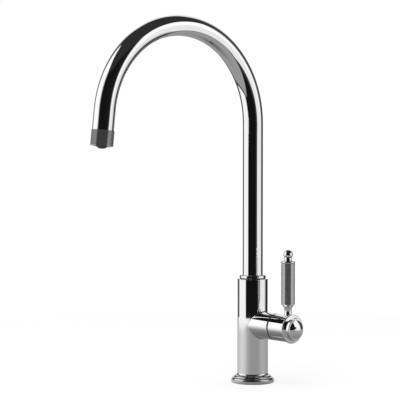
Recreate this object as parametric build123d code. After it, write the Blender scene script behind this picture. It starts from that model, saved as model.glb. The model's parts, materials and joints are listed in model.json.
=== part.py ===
from build123d import *
from math import asin, cos, pi, radians, sin, sqrt
import os

# Single-hole kitchen tap with a swivel arch spout and one side lever for three waters: hot,
# cold and filtered. Millimetres, +Z up. The origin is the middle of the foot on the deck, the
# spout points along -Y and the side branch with its lever along +X.

# ---- Fits and clearances ---------------------------------------------------------------------
running_fit = 0.05  # radial, between a journal and its bearing
seated_fit = 0.05  # radial, between a piece and the seat that it is screwed or pushed into
face_film = 0.05  # between flat faces that turn on each other
swing_gap = 0.4  # radial, between turning pieces that don't guide each other
groove_play = 0.3  # a seal's groove is this much wider than the seal
seal_ease = 0.02  # radial, between a seal and the two walls it closes
recess_play = 0.3  # round a screw's tip or a drive lug in its pocket
cut_over = 1.0  # how far a cutter runs past the piece that it cuts

# ---- Column ------------------------------------------------------------------------------------
column_radius = 18.0
column_top = 121.4
column_edge = 0.5
column_spigot_step = 1.5  # the column is this much slimmer inside the foot
column_foot_wall = 1.5  # round the inlet manifold
socket_depth = 31.4  # of the bore that the spout turns in

# ---- Foot, its mouldings stacked from the deck up and from the column out ------------------------
foot_rim_height = 4.0
foot_edge = 0.5
foot_step = 0.75  # from the rim in to the lower moulding
foot_lower_height = 2.5
foot_lower_width = 2.3
foot_lower_round = 3.2
foot_upper_height = 2.2
foot_upper_width = 2.3
foot_upper_round = 3.0
foot_cove_height = 2.1
foot_cove_width = 1.6
foot_cove_round = 2.5
foot_neck_lip = 0.15  # what the foot's top shows round the column
foot_ledge_height = 2.4  # of the floor that the column and the manifold stand on
foot_ledge_width = 1.6
gasket_inset = 0.4  # from the column's skin to the gasket's groove
gasket_margin = 2.3  # from the gasket's groove to the rim
gasket_thickness = 1.4

# ---- Side branch -------------------------------------------------------------------------------
branch_height = 68.1
branch_radius = 15.4
branch_reach = 40.0
branch_edge = 0.3
branch_fillet = 1.5  # where it leaves the column
chamber_wall = 2.4
chamber_depth = 23.0

# ---- Inlets and water ways -----------------------------------------------------------------------
manifold_height = 13.6
port_wall = 2.5  # from a port's thread to the manifold's skin
port_thread_radius = 3.5
port_thread_depth = 9.0
stud_thread_radius = 3.4
stud_thread_depth = 11.0
port_angles = {"hot": 225.0, "cold": 315.0, "filtered": 135.0}
stud_angle = 45.0
waterway_radius = 2.0
waterway_offset = 5.0  # of each water way from the column's and the branch's middle planes
mixed_riser_reach = 7.5
port_seal_radius = 3.2  # middle of the face seal round each water way
port_seal_width = 1.3
manifold_groove_drop = 3.1  # from the manifold's top to the middle of its seal
manifold_groove_depth = 1.5

# ---- Spout -------------------------------------------------------------------------------------
tube_radius = 12.0
tube_wall = 1.0
bend_radius = 107.3
bend_height = 302.4
bend_sweep = 173.6
tail_length = 21.85
collar_width = 3.6
collar_height = 3.55
collar_foot_round = 0.35
collar_top_round = 1.6

bush_wall = 1.3
bush_flange_inset = 0.7  # from the collar's side to the flange that shows under it
bush_flange_thickness = 0.8
bush_screw_gap = 1.5
lower_bush_length = 6.0

journal_step = 0.4  # the spigot is this much slimmer than the tube that stands on it
spigot_end_gap = 1.0
spigot_wall = 3.6
spigot_shank_length = 14.0
spigot_seal_count = 2
spigot_seal_pitch = 4.0
spigot_seal_drop = 4.5  # from the retaining groove down to the first seal
spigot_seal_depth = 1.2
retaining_drop = 12.4  # from the column's top to the retaining screw
retaining_groove_depth = 2.0
retaining_tip_radius = 2.0
retaining_tip_length = 3.0
retaining_thread_radius = 2.5
retaining_sink = 0.5  # the screw's end below the column's skin
retaining_key = 2.5  # across the flats of its hexagon

filter_tube_radius = 4.0
filter_tube_wall = 0.8
filter_foot_step = 0.8  # the inner tube is this much thicker at its foot
filter_foot_length = 7.0
filter_seat_depth = 8.0
filter_seat_gap = 0.3
filter_seal_rise = 4.0
filter_seal_depth = 0.9

# ---- Outlet ------------------------------------------------------------------------------------
outlet_step = 0.44  # the sleeve stands out from the tube by this
outlet_length = 17.1
outlet_lip = 0.8  # plain band at each end of the fluted sleeve
outlet_wall = 2.44
outlet_tenon_length = 7.0
outlet_tenon_wall = 1.75
outlet_flute_count = 60
outlet_flute_width = 0.75
outlet_flute_depth = 0.3
screen_shoulder = 1.15  # from the tube's end to the washer's seat
screen_recess = 0.65
screen_thickness = 2.5
screen_hub_wall = 0.85
screen_wall = 0.8
screen_hole_count = 16
screen_hole_radius = 0.8
washer_thickness = 1.0
washer_gap = 1.1  # round the nozzle's stem
nozzle_wall = 1.5
nozzle_dome_overhang = 1.5
nozzle_dome_rise = 3.5
nozzle_top_inset = 0.2
nozzle_socket_depth = 9.0
nozzle_bore_radius = 2.6

# ---- Cartridge, along the branch's axis ----------------------------------------------------------
cartridge_clearance = 0.6  # radial, in the chamber
cartridge_wall = 2.0
cartridge_gasket_thickness = 1.0
cartridge_foot = 2.5
fixed_disc_thickness = 3.0
moving_disc_thickness = 3.0
mixing_recess_depth = 1.4
mixing_recess_angle = 45.0
drive_flange_thickness = 3.0
drive_flange_gap = 0.8
drive_lug_radius = 1.2
drive_lug_length = 1.2
drive_lug_reach = 6.5
drive_end_gap = 0.4
cartridge_front_wall = 3.0
cartridge_neck_wall = 2.95
cartridge_neck_length = 5.0
spindle_radius = 5.0
spindle_shoulder_gap = 2.4  # from the spindle's shoulder to the bottom of the drum's bore
spindle_key_step = 1.0
spindle_key_cut = 0.8  # depth of the flat that carries the handle round
spindle_seal_depth = 1.0
spindle_seal_inset = 2.4
nut_length = 6.0
nut_slot_count = 6
nut_slot_width = 3.0
nut_slot_depth = 2.0

# ---- Handle ------------------------------------------------------------------------------------
glide_inset = 1.4  # of the seam ring below the branch's skin
glide_bore_gap = 1.6  # round the cartridge's neck
glide_thickness = 2.0
hub_drum_length = 23.25
hub_bead_width = 2.6
hub_bead_round = 1.32
hub_face_width = 2.0  # flat ring inside the bead
hub_slope_width = 0.9  # from the flat ring up to the boss
hub_slope_rise = 0.5
hub_boss_length = 4.2
hub_boss_taper = 0.6  # what the boss loses in radius along its length
hub_edge = 0.3
hub_wall = 3.0
hub_bore_depth = 5.0
hub_cavity_depth = 8.9
hub_web = 6.7  # between the spindle's socket and the screw's cavity
screw_radius = 2.0
screw_length = 15.0
screw_hole_play = 0.2
screw_head_radius = 3.5
screw_head_height = 4.0
screw_key = 3.0
screw_key_depth = 2.0
dome_edge_radius = 11.3
dome_edge_thickness = 0.9
dome_edge_round = 0.5
dome_edge_step = 0.7  # from the edge in to the dome
dome_seat_width = 2.1  # from the edge in to the skirt
dome_rise = 3.9
dome_skirt_length = 5.0
dome_wall = 1.2

# ---- Lever, its pieces stacked from the drum up ----------------------------------------------------
lever_setback = 17.65  # from the drum's inner end to the lever's axis
stem_seat_sink = 1.5  # of the stem's seat below the drum's top
stem_radius = 4.15
stem_length = 6.5
stem_stud_radius = 3.0
stem_stud_length = 7.0
stem_flare_height = 7.1
stem_flare_round = 9.0
stem_lip = 0.5  # under the grip
stem_lip_step = 0.3
grip_radius = 7.92
grip_length = 46.5
grip_flute_count = 40
grip_flute_width = 0.7
grip_flute_depth = 0.25
grip_collar = 0.6  # plain ring at each end of the grip
rod_radius = 2.0
rod_root_depth = 9.0
rod_head_depth = 5.5
cap_height = 2.6
cap_bead_round = 1.45
cap_inset = 0.47  # of the cap's flat ends from the grip's skin
finial_neck_radius = 4.3
finial_neck_height = 2.87
finial_collar_width = 0.6
finial_collar_height = 1.1
finial_collar_edge = 0.3
finial_collar_round = 0.8
ball_radius = 5.5

# ---- Radii that follow from the sizes above --------------------------------------------------------
column_spigot_radius = column_radius - column_spigot_step
manifold_radius = column_spigot_radius - column_foot_wall
port_circle_radius = manifold_radius - port_wall - port_thread_radius
manifold_groove_radius = manifold_radius - manifold_groove_depth
foot_neck_radius = column_radius + foot_neck_lip
foot_cove_radius = foot_neck_radius + foot_cove_width
foot_upper_radius = foot_cove_radius + foot_upper_width
foot_lower_radius = foot_upper_radius + foot_lower_width
foot_radius = foot_lower_radius + foot_step
gasket_inner_radius = column_radius + gasket_inset
gasket_outer_radius = foot_radius - gasket_margin
tube_bore_radius = tube_radius - tube_wall
collar_radius = tube_radius + collar_width
journal_radius = tube_radius - journal_step
bush_inner_radius = journal_radius + running_fit
bush_outer_radius = bush_inner_radius + bush_wall
bush_flange_radius = collar_radius - bush_flange_inset
socket_radius = bush_outer_radius + seated_fit
spigot_bore_radius = journal_radius - spigot_wall
spigot_groove_radius = journal_radius - spigot_seal_depth
retaining_groove_radius = journal_radius - retaining_groove_depth
filter_foot_radius = filter_tube_radius + filter_foot_step
filter_groove_radius = filter_foot_radius - filter_seal_depth
filter_seat_radius = filter_foot_radius + running_fit
outlet_radius = tube_radius + outlet_step
outlet_tenon_radius = tube_bore_radius - seated_fit
screen_radius = outlet_radius - outlet_wall
nozzle_radius = filter_tube_radius + nozzle_wall
nozzle_dome_radius = nozzle_radius + nozzle_dome_overhang
screen_hub_radius = nozzle_radius + seated_fit + screen_hub_wall
washer_inner_radius = nozzle_radius + washer_gap
chamber_radius = branch_radius - chamber_wall
cartridge_radius = chamber_radius - cartridge_clearance
disc_bore_radius = cartridge_radius - cartridge_wall
moving_disc_radius = disc_bore_radius - swing_gap
drive_flange_radius = disc_bore_radius - drive_flange_gap
spindle_bore_radius = spindle_radius + running_fit
spindle_key_radius = spindle_radius - spindle_key_step
spindle_key_flat = spindle_key_radius - spindle_key_cut
spindle_groove_radius = spindle_radius - spindle_seal_depth
cartridge_neck_radius = spindle_bore_radius + cartridge_neck_wall
glide_radius = branch_radius - glide_inset
glide_inner_radius = cartridge_neck_radius + glide_bore_gap
hub_radius = branch_radius
hub_slope_radius = hub_radius - hub_face_width
hub_boss_radius = hub_slope_radius - hub_slope_width
hub_rim_radius = hub_boss_radius - hub_boss_taper
hub_bore_radius = hub_radius - hub_wall
hub_cavity_radius = dome_edge_radius - dome_seat_width
dome_radius = dome_edge_radius - dome_edge_step
finial_collar_radius = finial_neck_radius + finial_collar_width

# ---- Heights on the column -------------------------------------------------------------------------
foot_lower_top = foot_rim_height + foot_lower_height
foot_upper_top = foot_lower_top + foot_upper_height
foot_height = foot_upper_top + foot_cove_height
manifold_top = foot_ledge_height + manifold_height
manifold_groove_height = manifold_top - manifold_groove_drop
waterway_low = branch_height - waterway_offset
waterway_high = branch_height + waterway_offset
socket_bottom = column_top - socket_depth
filter_seat_bottom = socket_bottom - filter_seat_depth
filter_foot = filter_seat_bottom + filter_seat_gap
filter_seal_height = filter_seat_bottom + filter_seal_rise
spigot_foot = socket_bottom + spigot_end_gap
retaining_height = column_top - retaining_drop
upper_bush_foot = retaining_height + retaining_thread_radius + bush_screw_gap
tube_foot = column_top + bush_flange_thickness + face_film
spigot_seal_heights = [
    retaining_height - spigot_seal_drop - turn * spigot_seal_pitch for turn in range(spigot_seal_count)
]

# ---- Distances along the branch ----------------------------------------------------------------------
chamber_start = branch_reach - chamber_depth
cartridge_start = chamber_start + cartridge_gasket_thickness
fixed_disc_start = cartridge_start + cartridge_foot
moving_disc_start = fixed_disc_start + fixed_disc_thickness + face_film
drive_start = moving_disc_start + moving_disc_thickness
front_wall_start = drive_start + drive_flange_thickness + drive_end_gap
neck_start = front_wall_start + cartridge_front_wall
neck_end = neck_start + cartridge_neck_length
spindle_seal_place = neck_start + spindle_seal_inset
nut_end = neck_start + nut_length
hub_start = branch_reach + glide_thickness + face_film
hub_bore_end = hub_start + hub_bore_depth
hub_shoulder = hub_start + hub_drum_length
hub_bead_end = hub_shoulder + hub_bead_width
hub_boss_start = hub_bead_end + hub_slope_rise
hub_face = hub_boss_start + hub_boss_length
hub_cavity_start = hub_face - hub_cavity_depth
hub_socket_end = hub_cavity_start - hub_web
spindle_end = hub_socket_end - recess_play
spindle_journal_end = hub_bore_end - spindle_shoulder_gap
screw_foot = hub_cavity_start - screw_length
dome_start = hub_face + dome_edge_thickness
lever_reach = hub_start + lever_setback

# ---- Heights on the lever ------------------------------------------------------------------------------
hub_top = branch_height + hub_radius
stem_seat_height = hub_top - stem_seat_sink
stem_stud_foot = stem_seat_height - stem_stud_length
stem_flare_start = stem_seat_height + stem_length
stem_flare_top = stem_flare_start + stem_flare_height
grip_start = stem_flare_top + stem_lip
grip_end = grip_start + grip_length
cap_top = grip_end + cap_height
finial_collar_top = cap_top + finial_collar_height
finial_neck_top = finial_collar_top + finial_neck_height
ball_height = finial_neck_top + sqrt(ball_radius**2 - finial_neck_radius**2)

# ---- Distances below the tube's end ----------------------------------------------------------------------
screen_start = screen_shoulder + washer_thickness
screen_end = outlet_length - screen_recess
nozzle_socket_end = screen_shoulder + nozzle_socket_depth


# ---- Helpers -------------------------------------------------------------------------------------
def turned(*outline):
    """Solid of revolution about Z. The outline is closed and each point is (radius, height).
    A third value is the radius of the arc that leads to the point, positive where the arc
    bulges outwards on the way up the outside."""
    edges = []
    for start, end in zip(outline, outline[1:] + outline[:1]):
        if len(end) == 3:
            edges.append(RadiusArc(start[:2], end[:2], -end[2]))
        else:
            edges.append(Line(start[:2], end[:2]))
    return revolve(Plane.XZ * make_face(edges), Axis.Z)


def rod(radius, low, high):
    """Plain round bar on Z between two heights."""
    return Pos(0, 0, (low + high) / 2) * Cylinder(radius, high - low)


def ring(inner, outer, low, high):
    """Plain ring about Z between two heights."""
    return rod(outer, low, high) - rod(inner, low, high)


def on_branch(solid):
    """Lays a piece made on Z along the branch's axis, its heights becoming distances along +X."""
    return Pos(0, 0, branch_height) * Rot(0, 90, 0) * solid


def on_lever(solid):
    """Stands a piece made on Z on the lever's axis."""
    return Pos(lever_reach, 0, 0) * solid


def on_outlet(solid):
    """Hangs a piece made on Z at the bend's end, its heights running out along the tail."""
    turn = radians(bend_sweep)
    end = (0, -bend_radius + bend_radius * cos(turn), bend_height + bend_radius * sin(turn))
    return Plane(origin=end, x_dir=(1, 0, 0), z_dir=(0, -sin(turn), cos(turn))) * solid


def spout_run(radius, foot, tail):
    """Solid bar along the spout's line: straight rise, bend and straight tail."""
    rise = rod(radius, foot, bend_height)
    axis = Axis((0, -bend_radius, bend_height), (1, 0, 0))
    bend = revolve(Pos(0, 0, bend_height) * Circle(radius), axis, bend_sweep)
    return rise + bend + on_outlet(rod(radius, 0, tail))


def groove(floor_radius, outer_radius, middle, width):
    """Ring-shaped cutter that leaves a groove with the given floor."""
    return ring(floor_radius, outer_radius + cut_over, middle - width / 2, middle + width / 2)


def seal_section(floor_radius, bore_radius):
    """Radius of the round section that closes the gap between a groove and a bore."""
    return (bore_radius - floor_radius) / 2 - seal_ease


def o_ring(floor_radius, bore_radius, middle):
    """Round-section ring between a groove's floor and the bore round it."""
    section = seal_section(floor_radius, bore_radius)
    return Pos(0, 0, middle) * Torus((floor_radius + bore_radius) / 2, section)


def o_ring_groove(floor_radius, shaft_radius, bore_radius, middle):
    """Cutter for the groove of the matching o_ring in a shaft."""
    width = 2 * seal_section(floor_radius, bore_radius) + groove_play
    return groove(floor_radius, shaft_radius, middle, width)


def fluted(radius, count, width, depth, low, high):
    """Bar on Z with round-bottomed flutes along it and a plain land between each two."""
    floor = radius - depth
    pitch = 2 * pi / count
    half_land = pitch / 2 - asin(width / 2 / radius)
    edges = []
    for flute in range(count):
        land, middle = flute * pitch, (flute + 0.5) * pitch
        start, end = land + half_land, land + pitch - half_land
        edges.append(
            ThreePointArc(
                (radius * cos(land - half_land), radius * sin(land - half_land)),
                (radius * cos(land), radius * sin(land)),
                (radius * cos(start), radius * sin(start)),
            )
        )
        edges.append(
            ThreePointArc(
                (radius * cos(start), radius * sin(start)),
                (floor * cos(middle), floor * sin(middle)),
                (radius * cos(end), radius * sin(end)),
            )
        )
    return Pos(0, 0, low) * extrude(make_face(edges), high - low)


def key_socket(across_flats, low, high):
    """Six-sided hole for a key, on Z."""
    outline = RegularPolygon(across_flats / 2, 6, major_radius=False)
    return Pos(0, 0, low) * extrude(outline, high - low)


def around(radius, angle):
    """Place at a radius and an angle about Z."""
    return Pos(radius * cos(radians(angle)), radius * sin(radians(angle)), 0)


def signs(angle):
    """Which side of the two middle planes an angle lies on."""
    return (1 if cos(radians(angle)) > 0 else -1, 1 if sin(radians(angle)) > 0 else -1)


# ---- Foot and column -----------------------------------------------------------------------------
def base_ring():
    """Moulded foot: rim, two round mouldings and a cove, hollow for the column, with the
    gasket's groove."""
    bore = column_spigot_radius + seated_fit
    hole = manifold_radius - foot_ledge_width
    body = turned(
        (hole, 0),
        (foot_radius - foot_edge, 0),
        (foot_radius, foot_edge),
        (foot_radius, foot_rim_height - foot_edge),
        (foot_radius - foot_edge, foot_rim_height, foot_edge),
        (foot_lower_radius, foot_rim_height),
        (foot_upper_radius, foot_lower_top, foot_lower_round),
        (foot_cove_radius, foot_upper_top, foot_upper_round),
        (foot_neck_radius, foot_height, -foot_cove_round),
        (bore, foot_height),
        (bore, foot_ledge_height),
        (hole, foot_ledge_height),
    )
    return body - ring(gasket_inner_radius, gasket_outer_radius, 0, gasket_thickness)


def base_gasket():
    """Flat rubber ring, pressed flush in the foot's underside."""
    inner = gasket_inner_radius + seated_fit
    outer = gasket_outer_radius - seated_fit
    return ring(inner, outer, 0, gasket_thickness)


def column_blank():
    """Outside of the casting: the column with its lower spigot, and the branch's round arm,
    blended where they meet."""
    column = turned(
        (0, foot_ledge_height),
        (column_spigot_radius, foot_ledge_height),
        (column_spigot_radius, foot_height),
        (column_radius, foot_height),
        (column_radius, column_top - column_edge),
        (column_radius - column_edge, column_top, column_edge),
        (0, column_top),
    )
    arm = turned(
        (0, 0),
        (branch_radius, 0),
        (branch_radius, branch_reach - branch_edge),
        (branch_radius - branch_edge, branch_reach),
        (0, branch_reach),
    )
    blank = column + on_branch(arm)
    junction = blank.edges().filter_by(GeomType.BSPLINE)
    return fillet(junction, branch_fillet)


def inlet_way(name):
    """One inlet's drilling: up the column from the manifold, then across to the cartridge."""
    side_x, side_y = signs(port_angles[name])
    x, y = side_x * waterway_offset, side_y * waterway_offset
    height = waterway_high if name == "hot" else waterway_low
    rise = Pos(x, y, 0) * rod(waterway_radius, manifold_top, height + waterway_radius)
    cross = Pos(0, y, height) * Rot(0, 90, 0) * rod(waterway_radius, x, chamber_start)
    return rise + cross


def outlet_ways():
    """The two drillings from the cartridge up to the spout: mixed water, and filtered water
    on the spout's own axis."""
    mixed_rise = Pos(mixed_riser_reach, waterway_offset, 0) * rod(
        waterway_radius, waterway_high - waterway_radius, socket_bottom
    )
    mixed_cross = Pos(0, waterway_offset, waterway_high) * Rot(0, 90, 0) * rod(
        waterway_radius, mixed_riser_reach, chamber_start
    )
    filtered_rise = rod(waterway_radius, branch_height - waterway_radius, filter_seat_bottom)
    filtered_cross = on_branch(rod(waterway_radius, 0, chamber_start))
    return mixed_rise + mixed_cross + filtered_rise + filtered_cross


def body_casting():
    """Column and branch in one casting, with the spout's socket, the cartridge's chamber, the
    manifold's bore and the drilled water ways."""
    body = column_blank()
    body -= rod(manifold_radius, foot_ledge_height, manifold_top)
    body -= rod(socket_radius, socket_bottom, column_top)
    body -= rod(filter_seat_radius, filter_seat_bottom, socket_bottom)
    body -= on_branch(rod(chamber_radius, chamber_start, branch_reach))
    body -= outlet_ways()
    for name in port_angles:
        body -= inlet_way(name)
    return body - retaining_bore()


def retaining_bore():
    """Threaded hole for the grub screw at the column's back."""
    hole = rod(retaining_thread_radius, socket_radius - cut_over, column_radius)
    return Pos(0, 0, retaining_height) * Rot(-90, 0, 0) * hole


def spout_retaining_screw():
    """Grub screw whose tip rides in the spigot's groove."""
    tip_start = retaining_groove_radius + recess_play
    thread_start = tip_start + retaining_tip_length
    end = column_radius - retaining_sink
    screw = rod(retaining_tip_radius, tip_start, thread_start)
    screw += rod(retaining_thread_radius - seated_fit, thread_start, end)
    screw -= key_socket(retaining_key, thread_start, end)
    return Pos(0, 0, retaining_height) * Rot(-90, 0, 0) * screw


# ---- Inlets --------------------------------------------------------------------------------------
def inlet_manifold():
    """Brass plug with three hose threads, the fixing stud's thread and the water ways."""
    body = rod(manifold_radius - seated_fit, foot_ledge_height, manifold_top)
    body -= o_ring_groove(
        manifold_groove_radius, manifold_radius, manifold_radius, manifold_groove_height
    )
    thread_top = foot_ledge_height + port_thread_depth
    for angle in port_angles.values():
        side_x, side_y = signs(angle)
        way = Pos(side_x * waterway_offset, side_y * waterway_offset, 0)
        thread = rod(port_thread_radius, foot_ledge_height, thread_top)
        body -= around(port_circle_radius, angle) * thread
        body -= way * rod(waterway_radius, thread_top - waterway_radius, manifold_top)
        body -= way * port_seal_space()
    stud_top = foot_ledge_height + stud_thread_depth
    stud_hole = rod(stud_thread_radius, foot_ledge_height, stud_top)
    return body - around(port_circle_radius, stud_angle) * stud_hole


def port_seal_space():
    """Face groove round a water way, in the manifold's top."""
    half = port_seal_width / 2 + seal_ease
    floor = manifold_top - port_seal_width
    return ring(port_seal_radius - half, port_seal_radius + half, floor, manifold_top)


def port_seals():
    """Face seals, one round each water way."""
    half = port_seal_width / 2
    floor = manifold_top - port_seal_width
    seals = []
    for angle in port_angles.values():
        side_x, side_y = signs(angle)
        seal = ring(port_seal_radius - half, port_seal_radius + half, floor, manifold_top)
        seals.append(Pos(side_x * waterway_offset, side_y * waterway_offset, 0) * seal)
    return Compound(children=seals)


def manifold_seal():
    """O-ring between the manifold and the column."""
    return o_ring(manifold_groove_radius, manifold_radius, manifold_groove_height)


# ---- Spout ---------------------------------------------------------------------------------------
def spout_tube():
    """Bent tube: straight rise, arch and straight tail."""
    outside = spout_run(tube_radius, tube_foot, tail_length)
    return outside - spout_run(tube_bore_radius, tube_foot, tail_length)


def spout_collar():
    """Ring at the tube's foot, its straight side rounded above and below."""
    top = tube_foot + collar_height
    bore = tube_radius + seated_fit
    return turned(
        (bore, tube_foot),
        (collar_radius - collar_foot_round, tube_foot),
        (collar_radius, tube_foot + collar_foot_round, collar_foot_round),
        (collar_radius, top - collar_top_round),
        (collar_radius - collar_top_round, top, collar_top_round),
        (bore, top),
    )


def spout_spigot():
    """Brass journal under the tube, with its shank inside it, two seal grooves and the groove
    of the retaining screw."""
    shank = tube_bore_radius - seated_fit
    body = turned(
        (spigot_bore_radius, spigot_foot),
        (journal_radius, spigot_foot),
        (journal_radius, tube_foot),
        (shank, tube_foot),
        (shank, tube_foot + spigot_shank_length),
        (spigot_bore_radius, tube_foot + spigot_shank_length),
    )
    for height in spigot_seal_heights:
        body -= o_ring_groove(spigot_groove_radius, journal_radius, socket_radius, height)
    width = 2 * (retaining_tip_radius + recess_play)
    return body - groove(retaining_groove_radius, journal_radius, retaining_height, width)


def spigot_seals():
    """The spigot's two O-rings."""
    seals = [o_ring(spigot_groove_radius, socket_radius, height) for height in spigot_seal_heights]
    return Compound(children=seals)


def spout_upper_bush():
    """Bearing sleeve in the socket's mouth, its thin flange under the collar."""
    flange_top = column_top + bush_flange_thickness
    return turned(
        (bush_inner_radius, upper_bush_foot),
        (bush_outer_radius, upper_bush_foot),
        (bush_outer_radius, column_top),
        (bush_flange_radius, column_top),
        (bush_flange_radius, flange_top),
        (bush_inner_radius, flange_top),
    )


def spout_lower_bush():
    """Bearing sleeve on the socket's floor."""
    top = socket_bottom + lower_bush_length
    return ring(bush_inner_radius, bush_outer_radius, socket_bottom, top)


def filter_tube():
    """Inner tube for the filtered water, along the spout's line, with its thick foot."""
    bore = filter_tube_radius - filter_tube_wall
    tail = tail_length + nozzle_socket_end
    body = spout_run(filter_tube_radius, filter_foot, tail)
    body += rod(filter_foot_radius, filter_foot, filter_foot + filter_foot_length)
    body -= spout_run(bore, filter_foot, tail)
    return body - o_ring_groove(
        filter_groove_radius, filter_foot_radius, filter_seat_radius, filter_seal_height
    )


def filter_tube_seal():
    """O-ring on the inner tube's foot."""
    return o_ring(filter_groove_radius, filter_seat_radius, filter_seal_height)


# ---- Outlet, its heights measured from the tube's end ----------------------------------------------
def at_tube_end(solid):
    """Hangs a piece at the tube's lower end."""
    return on_outlet(Pos(0, 0, tail_length) * solid)


def aerator_housing():
    """Fluted sleeve with its tenon in the tube and the screen's bore."""
    body = rod(outlet_radius, 0, outlet_lip)
    body += fluted(
        outlet_radius,
        outlet_flute_count,
        outlet_flute_width,
        outlet_flute_depth,
        outlet_lip,
        outlet_length - outlet_lip,
    )
    body += rod(outlet_radius, outlet_length - outlet_lip, outlet_length)
    body += rod(outlet_tenon_radius, -outlet_tenon_length, 0)
    tenon_bore = outlet_tenon_radius - outlet_tenon_wall
    body -= rod(tenon_bore, -outlet_tenon_length, screen_shoulder)
    body -= rod(screen_radius, screen_shoulder, outlet_length)
    return at_tube_end(body)


def aerator_washer():
    """Flat washer between the housing's shoulder and the screen."""
    outer = screen_radius - seated_fit
    return at_tube_end(ring(washer_inner_radius, outer, screen_shoulder, screen_start))


def aerator_insert():
    """Ring-shaped screen round the filtered water's nozzle, with its pattern of jets."""
    outer = screen_radius - seated_fit
    pocket_radius = outer - screen_wall
    pocket_end = screen_end - screen_thickness
    body = ring(nozzle_radius + seated_fit, outer, screen_start, screen_end)
    body -= ring(screen_hub_radius, pocket_radius, screen_start, pocket_end)
    for place in PolarLocations((screen_hub_radius + pocket_radius) / 2, screen_hole_count):
        body -= place * rod(screen_hole_radius, pocket_end, screen_end)
    return at_tube_end(body)


def filter_nozzle():
    """The filtered water's own outlet: stem through the screen and a shallow dome below it."""
    top = screen_shoulder + nozzle_top_inset
    tip = screen_end + nozzle_dome_rise
    dome_sphere = (nozzle_dome_radius**2 + nozzle_dome_rise**2) / (2 * nozzle_dome_rise)
    body = turned(
        (0, top),
        (nozzle_radius, top),
        (nozzle_radius, screen_end),
        (nozzle_dome_radius, screen_end),
        (0, tip, dome_sphere),
    )
    body -= rod(filter_tube_radius + seated_fit, top, nozzle_socket_end)
    return at_tube_end(body - rod(nozzle_bore_radius, top, tip))


# ---- Cartridge -------------------------------------------------------------------------------------
def cartridge_holes(low, high):
    """The five water ways through the cartridge's foot, on Z."""
    holes = rod(waterway_radius, low, high)
    for x in (-waterway_offset, waterway_offset):
        for y in (-waterway_offset, waterway_offset):
            holes += Pos(x, y, 0) * rod(waterway_radius, low, high)
    return holes


def cartridge_gasket():
    """Rubber disc between the chamber's floor and the cartridge, pierced for the water ways."""
    disc = rod(cartridge_radius, chamber_start, cartridge_start)
    return on_branch(disc - cartridge_holes(chamber_start, cartridge_start))


def cartridge_housing():
    """Barrel that holds the two discs, with its neck round the spindle."""
    body = turned(
        (0, cartridge_start),
        (cartridge_radius, cartridge_start),
        (cartridge_radius, neck_start),
        (cartridge_neck_radius, neck_start),
        (cartridge_neck_radius, neck_end),
        (0, neck_end),
    )
    body -= rod(disc_bore_radius, fixed_disc_start, front_wall_start)
    body -= rod(spindle_bore_radius, front_wall_start, neck_end)
    return on_branch(body - cartridge_holes(cartridge_start, fixed_disc_start))


def fixed_disc():
    """Fixed ceramic disc with the water ways through it."""
    end = fixed_disc_start + fixed_disc_thickness
    disc = rod(disc_bore_radius - seated_fit, fixed_disc_start, end)
    return on_branch(disc - cartridge_holes(fixed_disc_start, end))


def drive_lugs(radius, length):
    """The two lugs that turn the moving disc, or their pockets."""
    lugs = Pos(0, drive_lug_reach, 0) * rod(radius, drive_start - length, drive_start)
    return lugs + Pos(0, -drive_lug_reach, 0) * rod(radius, drive_start - length, drive_start)


def moving_disc():
    """Turning ceramic disc: a recess below joins the ports, two pockets above take the lugs."""
    disc = rod(moving_disc_radius, moving_disc_start, drive_start)
    reach = waterway_offset * sqrt(2)
    recess = SlotCenterToCenter(reach, 2 * waterway_radius)
    turn = Rot(0, 0, mixing_recess_angle)
    recess = Pos(0, 0, moving_disc_start) * turn * Pos(reach / 2, 0, 0) * recess
    disc -= extrude(recess, mixing_recess_depth)
    pockets = drive_lugs(drive_lug_radius + seated_fit, drive_lug_length + seated_fit)
    return on_branch(disc - pockets)


def cartridge_spindle():
    """Spindle with its drive flange, lugs, seal groove and flatted end."""
    flange_end = drive_start + drive_flange_thickness
    body = turned(
        (0, drive_start),
        (drive_flange_radius, drive_start),
        (drive_flange_radius, flange_end),
        (spindle_radius, flange_end),
        (spindle_radius, spindle_journal_end),
        (spindle_key_radius, spindle_journal_end),
        (spindle_key_radius, spindle_end),
        (0, spindle_end),
    )
    body += drive_lugs(drive_lug_radius, drive_lug_length)
    body -= key_flat(spindle_key_flat, spindle_journal_end, spindle_end)
    body -= rod(screw_radius, screw_foot - recess_play, spindle_end)
    body -= o_ring_groove(
        spindle_groove_radius, spindle_radius, spindle_bore_radius, spindle_seal_place
    )
    return on_branch(body)


def key_flat(distance, low, high):
    """Cutter that leaves a flat on a bar on Z, at a distance from its axis."""
    size = 2 * spindle_radius
    return Pos(distance + size / 2, 0, (low + high) / 2) * Box(size, 2 * size, high - low)


def spindle_seal():
    """O-ring on the spindle, in the cartridge's neck."""
    return on_branch(o_ring(spindle_groove_radius, spindle_bore_radius, spindle_seal_place))


def cartridge_nut():
    """Ring nut over the cartridge's shoulder, slotted for its key."""
    body = ring(
        cartridge_neck_radius + seated_fit, chamber_radius - seated_fit, neck_start, nut_end
    )
    slot = Box(2 * chamber_radius, nut_slot_width, nut_slot_depth)
    for turn in range(nut_slot_count // 2):
        body -= Pos(0, 0, nut_end - nut_slot_depth / 2) * Rot(0, 0, turn * 360 / nut_slot_count) * slot
    return on_branch(body)


# ---- Handle ----------------------------------------------------------------------------------------
def handle_glide_ring():
    """Dark ring that shows as the seam: it centres in the branch and the drum turns on it."""
    lip = chamber_radius - seated_fit
    end = branch_reach + glide_thickness
    return on_branch(
        turned(
            (glide_inner_radius, nut_end),
            (lip, nut_end),
            (lip, branch_reach),
            (glide_radius, branch_reach),
            (glide_radius, end),
            (glide_inner_radius, end),
        )
    )


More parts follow.
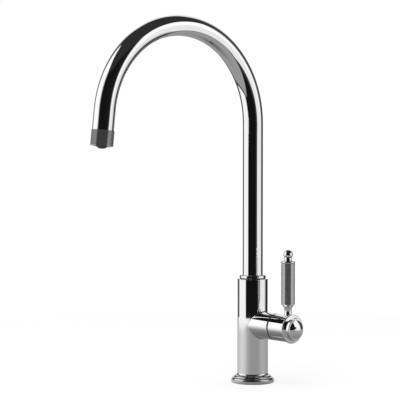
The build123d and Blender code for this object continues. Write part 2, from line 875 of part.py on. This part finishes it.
def handle_hub():
    """Drum with the bead, flat ring and boss at its end, bored for the spindle, the screw and
    the dome."""
    body = turned(
        (0, hub_start),
        (hub_radius - hub_edge, hub_start),
        (hub_radius, hub_start + hub_edge),
        (hub_radius, hub_shoulder),
        (hub_radius, hub_bead_end, hub_bead_round),
        (hub_slope_radius, hub_bead_end),
        (hub_boss_radius, hub_boss_start),
        (hub_rim_radius, hub_face),
        (0, hub_face),
    )
    body -= rod(hub_bore_radius, hub_start, hub_bore_end)
    body -= rod(hub_cavity_radius, hub_cavity_start, hub_face)
    body -= rod(screw_radius + screw_hole_play, spindle_end, hub_cavity_start)
    socket = rod(spindle_key_radius + seated_fit, hub_start, hub_socket_end)
    body -= socket - key_flat(spindle_key_flat + seated_fit, hub_start, hub_socket_end)
    body = on_branch(body)
    body -= on_lever(rod(stem_radius + seated_fit, stem_seat_height, hub_top + cut_over))
    return body - on_lever(rod(stem_stud_radius, stem_stud_foot - recess_play, stem_seat_height))


def handle_screw():
    """Cap screw that draws the drum onto the spindle."""
    top = hub_cavity_start + screw_head_height
    body = rod(screw_radius - seated_fit, screw_foot, hub_cavity_start)
    body += rod(screw_head_radius, hub_cavity_start, top)
    return on_branch(body - key_socket(screw_key, top - screw_key_depth, top))


def dome_cap():
    """Low dome with a fine round edge and a skirt that snaps into the drum."""
    skirt = hub_cavity_radius - seated_fit
    dome_sphere = (dome_radius**2 + dome_rise**2) / (2 * dome_rise)
    return on_branch(
        turned(
            (skirt - dome_wall, hub_face - dome_skirt_length),
            (skirt, hub_face - dome_skirt_length),
            (skirt, hub_face),
            (dome_edge_radius, hub_face),
            (dome_edge_radius, dome_start, dome_edge_round),
            (dome_radius, dome_start),
            (0, dome_start + dome_rise, dome_sphere),
            (0, dome_start),
            (skirt - dome_wall, dome_start),
        )
    )


# ---- Lever -----------------------------------------------------------------------------------------
def lever_stem():
    """Stem with its stud in the drum and the bell under the grip, bored for the tie rod."""
    stud = stem_stud_radius - seated_fit
    body = turned(
        (0, stem_stud_foot),
        (stud, stem_stud_foot),
        (stud, stem_seat_height),
        (stem_radius, stem_seat_height),
        (stem_radius, stem_flare_start),
        (grip_radius - stem_lip_step, stem_flare_top, -stem_flare_round),
        (grip_radius, stem_flare_top + stem_lip_step),
        (grip_radius, grip_start),
        (0, grip_start),
    )
    return on_lever(body - rod(rod_radius, grip_start - rod_root_depth, grip_start))


def lever_grip():
    """Fluted sleeve with a plain ring at each end."""
    body = rod(grip_radius, grip_start, grip_start + grip_collar)
    body += fluted(
        grip_radius,
        grip_flute_count,
        grip_flute_width,
        grip_flute_depth,
        grip_start + grip_collar,
        grip_end - grip_collar,
    )
    body += rod(grip_radius, grip_end - grip_collar, grip_end)
    return on_lever(body - rod(rod_radius + seated_fit, grip_start, grip_end))


def lever_rod():
    """Tie rod from the stem through the grip into the finial."""
    foot = grip_start - rod_root_depth + recess_play
    return on_lever(rod(rod_radius - seated_fit, foot, cap_top + rod_head_depth - recess_play))


def lever_top_cap():
    """Round-edged disc on the grip, a little wider than it."""
    return on_lever(
        turned(
            (rod_radius + seated_fit, grip_end),
            (grip_radius - cap_inset, grip_end),
            (grip_radius - cap_inset, cap_top, cap_bead_round),
            (rod_radius + seated_fit, cap_top),
        )
    )


def ball_finial():
    """Small collar, neck and ball, screwed on the tie rod."""
    body = turned(
        (0, cap_top),
        (finial_collar_radius, cap_top),
        (finial_collar_radius, cap_top + finial_collar_edge),
        (finial_neck_radius, finial_collar_top, finial_collar_round),
        (finial_neck_radius, finial_neck_top),
        (ball_radius, ball_height, ball_radius),
        (0, ball_height + ball_radius, ball_radius),
    )
    return on_lever(body - rod(rod_radius, cap_top, cap_top + rod_head_depth))


# ---- The pieces --------------------------------------------------------------------------------------
pieces = {
    "base_ring": base_ring,
    "base_gasket": base_gasket,
    "body_casting": body_casting,
    "spout_retaining_screw": spout_retaining_screw,
    "inlet_manifold": inlet_manifold,
    "manifold_seal": manifold_seal,
    "port_seals": port_seals,
    "spout_tube": spout_tube,
    "spout_collar": spout_collar,
    "spout_spigot": spout_spigot,
    "spigot_seals": spigot_seals,
    "spout_upper_bush": spout_upper_bush,
    "spout_lower_bush": spout_lower_bush,
    "filter_tube": filter_tube,
    "filter_tube_seal": filter_tube_seal,
    "aerator_housing": aerator_housing,
    "aerator_washer": aerator_washer,
    "aerator_insert": aerator_insert,
    "filter_nozzle": filter_nozzle,
    "cartridge_gasket": cartridge_gasket,
    "cartridge_housing": cartridge_housing,
    "fixed_disc": fixed_disc,
    "moving_disc": moving_disc,
    "cartridge_spindle": cartridge_spindle,
    "spindle_seal": spindle_seal,
    "cartridge_nut": cartridge_nut,
    "handle_glide_ring": handle_glide_ring,
    "handle_hub": handle_hub,
    "handle_screw": handle_screw,
    "dome_cap": dome_cap,
    "lever_stem": lever_stem,
    "lever_grip": lever_grip,
    "lever_rod": lever_rod,
    "lever_top_cap": lever_top_cap,
    "ball_finial": ball_finial,
}

os.makedirs("parts", exist_ok=True)
for name, make in pieces.items():
    export_step(make(), f"parts/{name}.step")
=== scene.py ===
import json
from math import cos, degrees, radians, sin

import bpy
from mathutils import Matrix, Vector

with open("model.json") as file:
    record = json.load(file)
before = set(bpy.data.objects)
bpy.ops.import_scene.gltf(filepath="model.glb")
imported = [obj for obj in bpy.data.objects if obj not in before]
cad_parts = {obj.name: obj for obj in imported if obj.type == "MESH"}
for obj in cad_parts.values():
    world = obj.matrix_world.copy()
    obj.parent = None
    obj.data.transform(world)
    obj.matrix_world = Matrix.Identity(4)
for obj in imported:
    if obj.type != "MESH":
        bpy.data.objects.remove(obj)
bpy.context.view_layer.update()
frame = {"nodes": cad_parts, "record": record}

# The part's nodes are drawn as they are: this script adds a camera, a studio and finishes, and no
# shape. Metres. Turns are degrees round the horizon from the camera's side, + to its right.

# ---- Camera -------------------------------------------------------------------------------------
CAMERA_DISTANCE = 1.6898  # level, from the column's axis
CAMERA_TURN = 47.69  # degrees round from the spout's side towards the lever's
CAMERA_HEIGHT = 0.2743
CAMERA_DROP = 2.077  # degrees below the level
CAMERA_AIM = 49.78  # degrees, the way it faces
CAMERA_CLIP = 100.0
LENS = 130.3  # mm
SENSOR = 36.0  # mm

# ---- Studio round the horizon, as polished metal sees it ----------------------------------------
# (turn, brightness at the level, brightness above it, degrees above the level where it ends), with
# straight lines between
HORIZON = [
    # Light behind, then a dark flag behind on the left
    (-180, 1.0, 0.75, 45), (-158, 1.0, 0.75, 45), (-152, 0.08, 0.06, 45), (-132, 0.08, 0.06, 46),
    # Soft box on the left
    (-120, 0.13, 0.90, 53), (-116, 0.92, 1.0, 55), (-105, 0.92, 1.0, 57), (-90, 0.90, 1.0, 56),
    (-75, 0.90, 1.0, 53), (-63, 0.90, 0.9, 50), (-56, 0.90, 0.45, 46),
    # Dark flag in front
    (-51, 0.006, 0.08, 45), (-44, 0.006, 0.006, 44), (20, 0.006, 0.007, 44),
    (32, 0.006, 0.008, 41), (36, 0.04, 0.009, 39), (47, 0.05, 0.01, 37),
    # Soft box on the right, with a flag over its near end
    (52, 0.82, 0.012, 36), (59, 0.82, 0.03, 34), (62, 0.82, 0.08, 32), (66, 0.82, 0.95, 31),
    (70, 0.82, 1.0, 32.5), (99, 0.80, 1.0, 32.5), (104, 0.60, 0.45, 32), (108, 0.30, 0.20, 30),
    (115, 0.12, 0.07, 28),
    # Dark flag behind on the right, then the light behind
    (119, 0.015, 0.05, 33), (134, 0.02, 0.05, 42), (151, 0.03, 0.07, 45), (157, 1.0, 0.75, 45),
    (180, 1.0, 0.75, 45),
]
LEVEL = (0.0, 3.5)  # degrees; between them the first brightness goes over into the second
ZENITH = 90.0  # degrees
WHITE = (1, 1, 1, 1)
CEILING = 0.026
CEILING_BLUR = 2.0  # degrees, to each side of where the boxes end
STUDIO_STRENGTH = 1.12
SKY_ON_DULL = 0.9  # what everything that isn't polished is lit by

# ---- Floor --------------------------------------------------------------------------------------
FLOOR_RADIUS = 0.72
FLOOR_FACES = 128
FLOOR_COLOUR = (0.93, 0.93, 0.93, 1)
FLOOR_GLOW = 0.72  # share of its white that shadows leave alone
# What polished metal sees of it along a flat ray: (turn, brightness) near the part
# Brighter at the soft boxes' turns: a painted reflection of them in the floor
FLOOR_NEAR = [
    (-180, 0.50), (-130, 0.58), (-84, 0.74), (-60, 0.66), (-40, 0.45), (-23, 0.35), (-8, 0.32),
    (30, 0.32), (46, 0.34), (62, 0.43), (82, 0.45), (103, 0.41), (134, 0.34), (180, 0.45),
]
# Then it brightens: (turn, where that starts), where it is done, and (turn, brightness) there
FLOOR_OUTER_START = [(-180, 0.44), (-75, 0.44), (-45, 0.53), (180, 0.53)]
FLOOR_OUTER_END = 0.61
FLOOR_OUTER = [
    (-180, 0.6), (-132, 0.5), (-120, 1.0), (104, 1.0), (116, 0.08), (148, 0.08), (160, 0.6),
    (180, 0.6),
]
FLOOR_FLAT_END = 0.66  # no flat ray meets it beyond this
# What polished metal sees of it from above: (distance out, brightness), darker near the part as a
# painted shadow, then a dark rim round a table with four straight sides
FLOOR_STEEP = [(0.0, 0.15), (0.05, 0.17), (0.1, 0.25), (0.16, 0.31), (0.24, 0.34), (1.0, 0.34)]
FLATNESS = (0.60, 0.85)  # 1 less the sine of the ray's fall, from above and flat
EVEN_FACING = 0.5  # at this blend, Layer Weight's Facing gives just that
TABLE_TURN = 12.0  # where its front edge faces
TABLE_FRONT = 0.47  # each from the column's axis
TABLE_BACK = 0.62
TABLE_RIGHT = 0.42
TABLE_LEFT = 0.50
RIM_START = (0.93, 0.97)  # where it goes dark, in shares of the distance to the table's edge
RIM_END = (1.06, 1.08)  # where it fades out, in the same
RIM_GREY = (0.02, 0.02, 0.02, 1)

# ---- Level cards over the part, which only metal below them sees --------------------------------
CARD_HEIGHT = 0.2
DARK_CARD = [(-0.19, -0.105), (-0.11, -0.157), (-0.05, -0.026), (-0.135, -0.026)]
DARK_CARD_GREY = 0.006
LIGHT_CARD_MIDDLE = (0.075, 0.0)
# (turn, distance out from its middle) of its corners
LIGHT_CARD = [
    (51, 0.10), (51, 0.45), (64, 0.45), (64, 0.21), (86, 0.20), (108, 0.21), (108, 0.10),
    (80, 0.10),
]
LIGHT_CARD_GREY = 1.12
CARD_HIDDEN_FROM = ("camera", "diffuse", "transmission", "volume_scatter", "shadow")

# ---- Soft light ---------------------------------------------------------------------------------
LAMP_PLACE = (0.5, -0.9, 1.6)
LAMP_SIZE = 1.6
LAMP_POWER = 12.0

# ---- Polished and satin plate -------------------------------------------------------------------
NOISE_SPAN = (0.3, 0.7)  # what a noise mostly stays between
CHROME_HAZE = (45.0, 4.0)  # scale and detail of a noise, here and below
CHROME = ((0.86, 0.865, 0.87), (0.90, 0.90, 0.90))  # dark and light, here and below
CHROME_SPAN = (0.3, 0.75)  # the part of the haze that its roughness follows
CHROME_ROUGH = (0.015, 0.035)
FOOT_ROUND = 0.0187  # the foot stands out from the column beyond this and ends below it
# Painted shade: the foot's chrome is darker so that its reflections come out dimmer
FOOT_SHADED_CHROME = ((0.61, 0.613, 0.617), (0.65, 0.65, 0.65))
FOOT_ROUGH = 0.12  # more than the rest
FLARE_START = (0.087, 0.089)  # height where the stem's polish goes over into its flare's satin
FLARE_TOP = 0.0962  # height where the flare ends under the grip
FLARE_REACH = 0.05  # beyond this along the branch
FLARE_ROUGH = 0.22  # more than the rest
SATIN_METAL = 0.84  # the rest is the plate's dull grain
SATIN_CLOUD = (70.0, 3.0)
SATIN_ROUGH = (0.05, 0.08)
SATIN_SPLIT = 0.03  # along the branch, between the spout's sleeve and the lever's grip
# Painted shade: both satin colours are dark to stand for the shade in the flutes' grooves, the
# sleeve's darker than the grip's
GRIP_SHADED_SATIN = ((0.40, 0.403, 0.407), (0.46, 0.46, 0.46))
GRIP_AXIS = ((0.0597, 0, 0), (0, 0, 1))  # a point on it and its way
SLEEVE_SHADED_SATIN = ((0.24, 0.24, 0.243), (0.29, 0.29, 0.29))
SLEEVE_AXIS = ((0, -0.2139, 0.3144), (0, -0.1115, -0.9938))
FLUTE_CALM = 0.93  # how far shading turns a flute's sides back to the round they are cut in

# ---- Other finishes: a cloud of two colours under a fine grain ----------------------------------
# cloud and grain are (scale, detail) of a noise, stretch scales the grain along each axis, bump is
# (strength, distance), and rough_by names the noise that the roughness follows
FINISHES = {
    # Machined brass with the tool's fine rings and a little tarnish
    "brass": {
        "metal": 1.0, "cloud": (120.0, 4.0),
        "dark": (0.66, 0.49, 0.25), "light": (0.80, 0.63, 0.36),
        "rough_by": "cloud", "rough": (0.22, 0.36),
        "grain": (900.0, 2.0), "stretch": (0.1, 0.1, 4.0), "bump": (0.2, 0.0001),
    },
    # Turned brass, its rings across the branch's axis
    "spindle_brass": {
        "metal": 1.0, "cloud": (150.0, 4.0),
        "dark": (0.66, 0.50, 0.27), "light": (0.78, 0.62, 0.37),
        "rough_by": "cloud", "rough": (0.18, 0.30),
        "grain": (900.0, 2.0), "stretch": (4.0, 0.1, 0.1), "bump": (0.2, 0.0001),
    },
    # Drawn stainless steel with fine lines and a few darker patches
    "steel": {
        "metal": 1.0, "cloud": (200.0, 3.0),
        "dark": (0.50, 0.50, 0.51), "light": (0.62, 0.62, 0.62),
        "rough_by": "grain", "rough": (0.2, 0.4),
        "grain": (1500.0, 3.0), "stretch": (1.0, 1.0, 0.05), "bump": (0.1, 0.0001),
    },
    # Black rubber with a fine moulded grain and paler bloom
    "rubber": {
        "metal": 0.0, "cloud": (90.0, 5.0),
        "dark": (0.018, 0.018, 0.018), "light": (0.045, 0.045, 0.044),
        "rough_by": "cloud", "rough": (0.6, 0.85),
        "grain": (4000.0, 2.0), "stretch": None, "bump": (0.25, 0.00005),
    },
    # Moulded black plastic of the glide ring, bushes, jet former and nozzle
    "black_plastic": {
        "metal": 0.0, "cloud": (160.0, 3.0),
        "dark": (0.016, 0.016, 0.018), "light": (0.035, 0.035, 0.038),
        "rough_by": "grain", "rough": (0.35, 0.55),
        "grain": (5000.0, 2.0), "stretch": None, "bump": (0.15, 0.00004),
    },
    # Moulded white plastic of the cartridge and the inner tube
    "white_plastic": {
        "metal": 0.0, "cloud": (110.0, 3.0),
        "dark": (0.78, 0.78, 0.75), "light": (0.84, 0.84, 0.82),
        "rough_by": "grain", "rough": (0.3, 0.5),
        "grain": (4000.0, 2.0), "stretch": None, "bump": (0.1, 0.00004),
    },
    # Lapped alumina: near white, with a very fine speckle
    "ceramic": {
        "metal": 0.0, "cloud": (6000.0, 4.0),
        "dark": (0.86, 0.85, 0.82), "light": (0.92, 0.92, 0.90),
        "rough_by": "cloud", "rough": (0.1, 0.22),
        "grain": None,
    },
}


# ---- Shader helpers -----------------------------------------------------------------------------
def ahead(turn):
    """Level unit vector at a turn."""
    angle = radians(CAMERA_TURN + turn)
    return sin(angle), -cos(angle), 0


def around(values):
    """Ramp stops round the horizon from (turn, value)."""
    return [((turn + 180) / 360, value) for turn, value in values]


class Shader:
    """A node tree with short ways to add nodes to it."""

    def __init__(self, tree):
        self.tree = tree
        tree.nodes.clear()

    def join(self, socket, value):
        """Gives a socket a value or another node's output."""
        if isinstance(value, bpy.types.NodeSocket):
            self.tree.links.new(value, socket)
        else:
            socket.default_value = value

    def add(self, kind, inputs=(), **settings):
        """New node. Inputs are (socket, value or another node's output)."""
        node = self.tree.nodes.new(kind)
        for name, value in settings.items():
            setattr(node, name, value)
        for socket, value in inputs:
            self.join(node.inputs[socket], value)
        return node

    def math(self, operation, first, second=0.0):
        inputs = [(0, first), (1, second)]
        return self.add("ShaderNodeMath", inputs, operation=operation).outputs[0]

    def vector(self, operation, first, second=(0, 0, 0)):
        """Vector that comes from one or two others."""
        inputs = [(0, first), (1, second)]
        return self.add("ShaderNodeVectorMath", inputs, operation=operation).outputs["Vector"]

    def length(self, vector):
        node = self.add("ShaderNodeVectorMath", [(0, vector)], operation="LENGTH")
        return node.outputs["Value"]

    def along(self, vector, direction):
        """How far a vector reaches in a direction."""
        inputs = [(0, vector), (1, direction)]
        node = self.add("ShaderNodeVectorMath", inputs, operation="DOT_PRODUCT")
        return node.outputs["Value"]

    def scaled(self, vector, factor):
        inputs = [(0, vector), ("Scale", factor)]
        return self.add("ShaderNodeVectorMath", inputs, operation="SCALE").outputs["Vector"]

    def parts(self, vector):
        """X, Y and Z outputs of a vector."""
        return self.add("ShaderNodeSeparateXYZ", [(0, vector)]).outputs

    def own_place(self):
        """Place in the part's own metres, which moves with its body."""
        return self.add("ShaderNodeTexCoord").outputs["Object"]

    def turn(self, direction):
        """0 to 1 round the horizon, 0.5 at the camera's side."""
        turn = self.math(
            "ARCTAN2", self.along(direction, ahead(90)), self.along(direction, ahead(0))
        )
        return self.spread(turn, (radians(-180), radians(180)), (0, 1))

    def spread(self, value, span, to, smooth=False):
        """Value from one range onto another, held at its ends."""
        inputs = [(0, value), (1, span[0]), (2, span[1]), (3, to[0]), (4, to[1])]
        kind = "SMOOTHSTEP" if smooth else "LINEAR"
        return self.add("ShaderNodeMapRange", inputs, interpolation_type=kind).outputs[0]

    def ramp(self, value, stops):
        """Grey ramp through (place, brightness) stops."""
        node = self.add("ShaderNodeValToRGB", [(0, value)])
        elements = node.color_ramp.elements
        while len(elements) < len(stops):
            elements.new(0.5)
        for element, (place, grey) in zip(elements, stops):
            element.position = place
            element.color = (grey, grey, grey, 1)
        return node.outputs[0]

    def blend(self, value, first, second):
        """Two colours mixed by a value, each a colour or another node's output."""
        inputs = [("Factor", value), ("A", first), ("B", second)]
        mix = self.add("ShaderNodeMix", data_type="RGBA")
        for socket, part in inputs:
            self.join(mix.inputs[socket], part)
        return mix.outputs["Result"]

    def blend_ways(self, value, first, second):
        """Two vectors mixed by a value."""
        mix = self.add("ShaderNodeMix", [(0, value)], data_type="VECTOR")
        self.join(mix.inputs["A"], first)
        self.join(mix.inputs["B"], second)
        return mix.outputs["Result"]

    def colours(self, value, pair):
        """A dark and a light colour mixed by a value."""
        dark, light = pair
        return self.blend(value, (*dark, 1), (*light, 1))

    def noise(self, kind, stretch=None):
        """Noise in the part's own metres, kind its scale and detail."""
        place = self.own_place()
        if stretch:
            mapping = self.add("ShaderNodeMapping", [("Vector", place), ("Scale", stretch)])
            place = mapping.outputs[0]
        scale, detail = kind
        inputs = [("Vector", place), ("Scale", scale), ("Detail", detail)]
        return self.add("ShaderNodeTexNoise", inputs).outputs[0]

    def bump(self, height, strength, distance):
        inputs = [("Height", height), ("Strength", strength), ("Distance", distance)]
        return self.add("ShaderNodeBump", inputs).outputs[0]

    def light(self, colour, strength=1.0, kind="ShaderNodeEmission"):
        return self.add(kind, [("Color", colour), ("Strength", strength)]).outputs[0]

    def either(self, value, first, second):
        """Two shaders mixed by a value."""
        inputs = [(0, value), (1, first), (2, second)]
        return self.add("ShaderNodeMixShader", inputs).outputs[0]


def new_material(name):
    material = bpy.data.materials.new(name)
    material.use_nodes = True
    return material, Shader(material.node_tree)


# ---- Studio -------------------------------------------------------------------------------------
def studio_sky(s, way):
    """Soft boxes and dark flags round the horizon, and a dark ceiling."""
    place = s.turn(way)
    at_level = s.ramp(place, around([(turn, level) for turn, level, above, end in HORIZON]))
    above_level = s.ramp(place, around([(turn, above) for turn, level, above, end in HORIZON]))
    ends = s.ramp(place, around([(turn, end / ZENITH) for turn, level, above, end in HORIZON]))
    rise = s.math("MULTIPLY", s.math("ARCSINE", s.parts(way)["Z"]), degrees(1))
    ring = s.blend(s.spread(rise, LEVEL, (0, 1), smooth=True), at_level, above_level)
    over = s.math("SUBTRACT", rise, s.math("MULTIPLY", ends, ZENITH))
    in_ceiling = s.spread(over, (-CEILING_BLUR, CEILING_BLUR), (0, 1), smooth=True)
    return s.blend(in_ceiling, ring, (CEILING, CEILING, CEILING, 1))


def make_world():
    """White to the camera, even to dull surfaces, and the studio to polished metal."""
    world = bpy.data.worlds.new("studio")
    bpy.context.scene.world = world
    world.use_nodes = True
    world.cycles.sampling_method = "NONE"
    s = Shader(world.node_tree)
    sky = studio_sky(s, s.add("ShaderNodeTexCoord").outputs["Generated"])
    path = s.add("ShaderNodeLightPath").outputs
    straight = s.math("MAXIMUM", path["Is Camera Ray"], path["Is Transmission Ray"])
    plain = s.light(WHITE, SKY_ON_DULL, "ShaderNodeBackground")
    metal = s.light(sky, STUDIO_STRENGTH, "ShaderNodeBackground")
    white = s.light(WHITE, kind="ShaderNodeBackground")
    bounced = s.either(path["Is Glossy Ray"], plain, metal)
    s.add("ShaderNodeOutputWorld", [(0, s.either(straight, bounced, white))])


def floor_seen_flat(s, place, far):
    """The floor along flat rays: its brightness, and whether the ray misses it."""
    turn = s.turn(place)
    # Its brighter turns are a painted reflection of the soft boxes
    near = s.ramp(turn, around(FLOOR_NEAR))
    start = s.ramp(turn, around(FLOOR_OUTER_START))
    outer = s.spread(far, (start, FLOOR_OUTER_END), (0, 1), smooth=True)
    tone = s.blend(outer, near, s.ramp(turn, around(FLOOR_OUTER)))
    return tone, s.math("GREATER_THAN", far, FLOOR_FLAT_END)


def floor_seen_steep(s, place, far):
    """From above it is a grey table with a dark rim: its brightness, and whether it is missed."""
    out = s.along(place, ahead(TABLE_TURN))
    side = s.along(place, ahead(TABLE_TURN + 90))
    edge = s.math("DIVIDE", out, TABLE_FRONT)
    for distance, reach in ((out, -TABLE_BACK), (side, TABLE_RIGHT), (side, -TABLE_LEFT)):
        edge = s.math("MAXIMUM", edge, s.math("DIVIDE", distance, reach))
    rim = s.spread(edge, RIM_START, (0, 1), smooth=True)
    # The ramp's darker start near the part is a painted shadow
    return s.blend(rim, s.ramp(far, FLOOR_STEEP), RIM_GREY), s.spread(edge, RIM_END, (0, 1))


def floor_as_metal_sees_it(s):
    place = s.add("ShaderNodeNewGeometry").outputs["Position"]
    far = s.length(place)
    flat_tone, flat_missed = floor_seen_flat(s, place, far)
    steep_tone, steep_missed = floor_seen_steep(s, place, far)
    facing = s.add("ShaderNodeLayerWeight", [("Blend", EVEN_FACING)]).outputs["Facing"]
    flatness = s.spread(facing, FLATNESS, (0, 1), smooth=True)
    shown = s.light(s.blend(flatness, steep_tone, flat_tone))
    clear = s.add("ShaderNodeBsdfTransparent").outputs[0]
    return s.either(s.blend(flatness, steep_missed, flat_missed), shown, clear)


def make_floor():
    """Round pale table top, its shadow faint to the camera and full to dull surfaces."""
    bpy.ops.mesh.primitive_circle_add(vertices=FLOOR_FACES, radius=FLOOR_RADIUS, fill_type="NGON")
    floor = bpy.context.object
    floor.name = "floor"
    material, s = new_material("floor")
    metal = floor_as_metal_sees_it(s)
    paint = s.add("ShaderNodeBsdfDiffuse", [("Color", FLOOR_COLOUR)]).outputs[0]
    shown = s.either(FLOOR_GLOW, paint, s.light(WHITE))
    path = s.add("ShaderNodeLightPath").outputs
    dull = s.either(path["Is Camera Ray"], paint, shown)
    out = s.either(path["Is Glossy Ray"], dull, metal)
    s.add("ShaderNodeOutputMaterial", [(0, out)])
    floor.data.materials.append(material)


def make_card(name, corners, grey):
    """Level card that is clear from above."""
    material, s = new_material(name)
    upward = s.parts(s.add("ShaderNodeNewGeometry").outputs["True Normal"])["Z"]
    clear = s.add("ShaderNodeBsdfTransparent").outputs[0]
    out = s.either(s.math("GREATER_THAN", upward, 0.0), s.light(WHITE, grey), clear)
    s.add("ShaderNodeOutputMaterial", [(0, out)])
    mesh = bpy.data.meshes.new(name)
    mesh.from_pydata([(x, y, CARD_HEIGHT) for x, y in corners], [], [range(len(corners))])
    mesh.materials.append(material)
    card = bpy.data.objects.new(name, mesh)
    bpy.context.scene.collection.objects.link(card)
    for ray in CARD_HIDDEN_FROM:
        setattr(card, "visible_" + ray, False)


def make_cards():
    make_card("dark_card", DARK_CARD, DARK_CARD_GREY)
    x, y = LIGHT_CARD_MIDDLE
    corners = []
    for turn, reach in LIGHT_CARD:
        way_x, way_y, _ = ahead(turn)
        corners.append((x + reach * way_x, y + reach * way_y))
    make_card("light_card", corners, LIGHT_CARD_GREY)


def make_lamp():
    """One large soft light from the upper front, which polished metal doesn't show."""
    light = bpy.data.lights.new("soft_light", "AREA")
    light.shape = "DISK"
    light.size = LAMP_SIZE
    light.energy = LAMP_POWER
    lamp = bpy.data.objects.new("soft_light", light)
    lamp.location = LAMP_PLACE
    lamp.rotation_euler = (-Vector(LAMP_PLACE)).to_track_quat("-Z", "Y").to_euler()
    lamp.visible_glossy = False
    bpy.context.scene.collection.objects.link(lamp)


def make_camera():
    data = bpy.data.cameras.new("camera")
    data.lens = LENS
    data.sensor_width = SENSOR
    data.clip_end = CAMERA_CLIP
    camera = bpy.data.objects.new("camera", data)
    x, y, _ = ahead(0)
    camera.location = (CAMERA_DISTANCE * x, CAMERA_DISTANCE * y, CAMERA_HEIGHT)
    camera.rotation_euler = (radians(90 - CAMERA_DROP), 0, radians(CAMERA_AIM))
    bpy.context.scene.collection.objects.link(camera)
    bpy.context.scene.camera = camera


# ---- Materials ----------------------------------------------------------------------------------
def chrome(s, skin):
    """Polished plate with a faint haze, softer on the foot and satin on the flare; the foot is
    painted darker, a painted shade that dims its reflections.
    """
    skin["Metallic"].default_value = 1.0
    haze = s.noise(CHROME_HAZE)
    place = s.own_place()
    parts = s.parts(place)
    out = s.length(s.vector("MULTIPLY", place, (1, 1, 0)))
    on_foot = s.math("GREATER_THAN", out, FOOT_ROUND)
    on_foot = s.math("MULTIPLY", on_foot, s.math("LESS_THAN", parts["Z"], FOOT_ROUND))
    # The foot's darker colour is painted shade
    colour = s.blend(on_foot, s.colours(haze, CHROME), s.colours(haze, FOOT_SHADED_CHROME))
    s.join(skin["Base Color"], colour)
    on_flare = s.spread(parts["Z"], FLARE_START, (0, 1), smooth=True)
    on_flare = s.math("MULTIPLY", on_flare, s.math("LESS_THAN", parts["Z"], FLARE_TOP))
    on_flare = s.math("MULTIPLY", on_flare, s.math("GREATER_THAN", parts["X"], FLARE_REACH))
    polish = s.spread(haze, CHROME_SPAN, CHROME_ROUGH)
    soft = s.math("MULTIPLY", on_foot, FOOT_ROUGH)
    soft = s.math("ADD", soft, s.math("MULTIPLY", on_flare, FLARE_ROUGH))
    s.join(skin["Roughness"], s.math("ADD", polish, soft))


def calm_flutes(s, axis):
    """The surface's way with the flutes' sides turned most of the way back to the round."""
    point, way = axis
    out = s.vector("SUBTRACT", s.own_place(), point)
    side = s.vector("NORMALIZE", s.vector("CROSS_PRODUCT", way, out))
    side = s.add(
        "ShaderNodeVectorTransform",
        [(0, side)],
        vector_type="VECTOR",
        convert_from="OBJECT",
        convert_to="WORLD",
    ).outputs[0]
    facing = s.add("ShaderNodeNewGeometry").outputs["Normal"]
    lean = s.math("MULTIPLY", s.along(facing, side), FLUTE_CALM)
    return s.vector("NORMALIZE", s.vector("SUBTRACT", facing, s.scaled(side, lean)))


def satin_chrome(s, skin):
    """Matt plate on the fluted pieces, darkened as painted shade of the flutes' grooves; the
    sleeve is darker than the grip.
    """
    skin["Metallic"].default_value = SATIN_METAL
    cloud = s.noise(SATIN_CLOUD)
    at_grip = s.math("GREATER_THAN", s.parts(s.own_place())["X"], SATIN_SPLIT)
    # Painted shade of the flutes' grooves in both colours
    colour = s.blend(at_grip, s.colours(cloud, SLEEVE_SHADED_SATIN), s.colours(cloud, GRIP_SHADED_SATIN))
    s.join(skin["Base Color"], colour)
    s.join(skin["Roughness"], s.spread(cloud, NOISE_SPAN, SATIN_ROUGH))
    facing = s.blend_ways(at_grip, calm_flutes(s, SLEEVE_AXIS), calm_flutes(s, GRIP_AXIS))
    s.join(skin["Normal"], facing)


def grained(s, skin, finish):
    """One of FINISHES."""
    skin["Metallic"].default_value = finish["metal"]
    noises = {"cloud": s.noise(finish["cloud"])}
    s.join(skin["Base Color"], s.colours(noises["cloud"], (finish["dark"], finish["light"])))
    if finish["grain"]:
        noises["grain"] = s.noise(finish["grain"], finish["stretch"])
        s.join(skin["Normal"], s.bump(noises["grain"], *finish["bump"]))
    rough = s.spread(noises[finish["rough_by"]], NOISE_SPAN, finish["rough"])
    s.join(skin["Roughness"], rough)


def make_material(slot):
    material, s = new_material(slot)
    principled = s.add("ShaderNodeBsdfPrincipled")
    if slot == "chrome":
        chrome(s, principled.inputs)
    elif slot == "satin_chrome":
        satin_chrome(s, principled.inputs)
    else:
        grained(s, principled.inputs, FINISHES[slot])
    s.add("ShaderNodeOutputMaterial", [(0, principled.outputs[0])])
    return material


def dress_nodes():
    """Gives every node the finish of its material slot."""
    materials = {}
    for piece in frame["record"]["subparts"]:
        slot = piece["material_slot"]
        if slot not in materials:
            materials[slot] = make_material(slot)
        node = frame["nodes"][piece["node"]]
        node.data.materials.clear()
        node.data.materials.append(materials[slot])


make_camera()
make_world()
make_floor()
make_cards()
make_lamp()
dress_nodes()
bpy.context.scene.view_settings.view_transform = "Standard"
